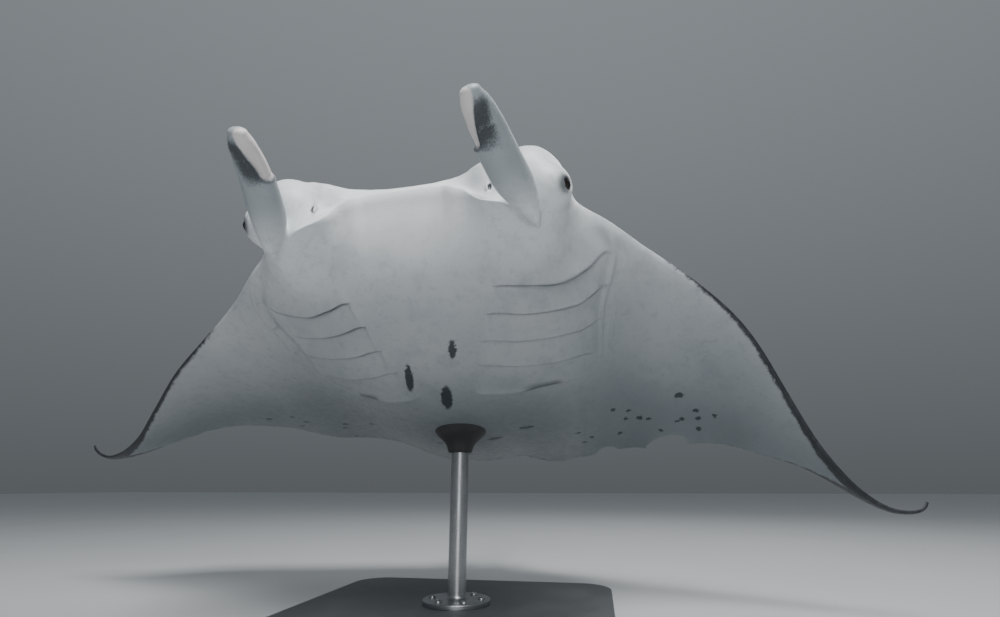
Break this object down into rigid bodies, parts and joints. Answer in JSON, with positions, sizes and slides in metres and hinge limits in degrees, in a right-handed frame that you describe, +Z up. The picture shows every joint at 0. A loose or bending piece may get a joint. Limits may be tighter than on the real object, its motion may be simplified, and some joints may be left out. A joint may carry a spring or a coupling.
{
  "type": "manta ray model",
  "caption": "Life-size reef manta ray gliding nose up with wings in the downstroke and rolled cephalic fins, held on a plate and column display stand.",
  "frame": {"origin": "middle of the flat underside of the stand's base, on the floor", "axes": "+Z up, head towards -Y, tail towards +Y, the animal's left wing towards +X and its right wing towards -X"},
  "size_m": [3.0305, 2.7216, 1.2456],
  "materials": {
    "ray_skin": "smooth satin skin, off-white to pale grey below with charcoal spots, charcoal black above with pale shoulder patches",
    "eye": "polished dark eye",
    "stand_plate": "satin dark grey powder coat",
    "stand_steel": "brushed steel column",
    "stand_pad": "black rubber-faced cup"
  },
  "bodies": {
    "root": {"head": "ray_skin", "lower_jaw": "ray_skin", "trunk": "ray_skin", "left_pectoral_fin": "ray_skin", "right_pectoral_fin": "ray_skin", "left_cephalic_fin": "ray_skin", "right_cephalic_fin": "ray_skin", "left_pelvic_fin": "ray_skin", "right_pelvic_fin": "ray_skin", "dorsal_fin": "ray_skin", "tail_root": "ray_skin", "tail_whip": "ray_skin", "left_eye": "eye", "right_eye": "eye", "stand_base": "stand_plate", "stand_column": "stand_steel", "stand_saddle": "stand_pad"}
  },
  "joints": []
}
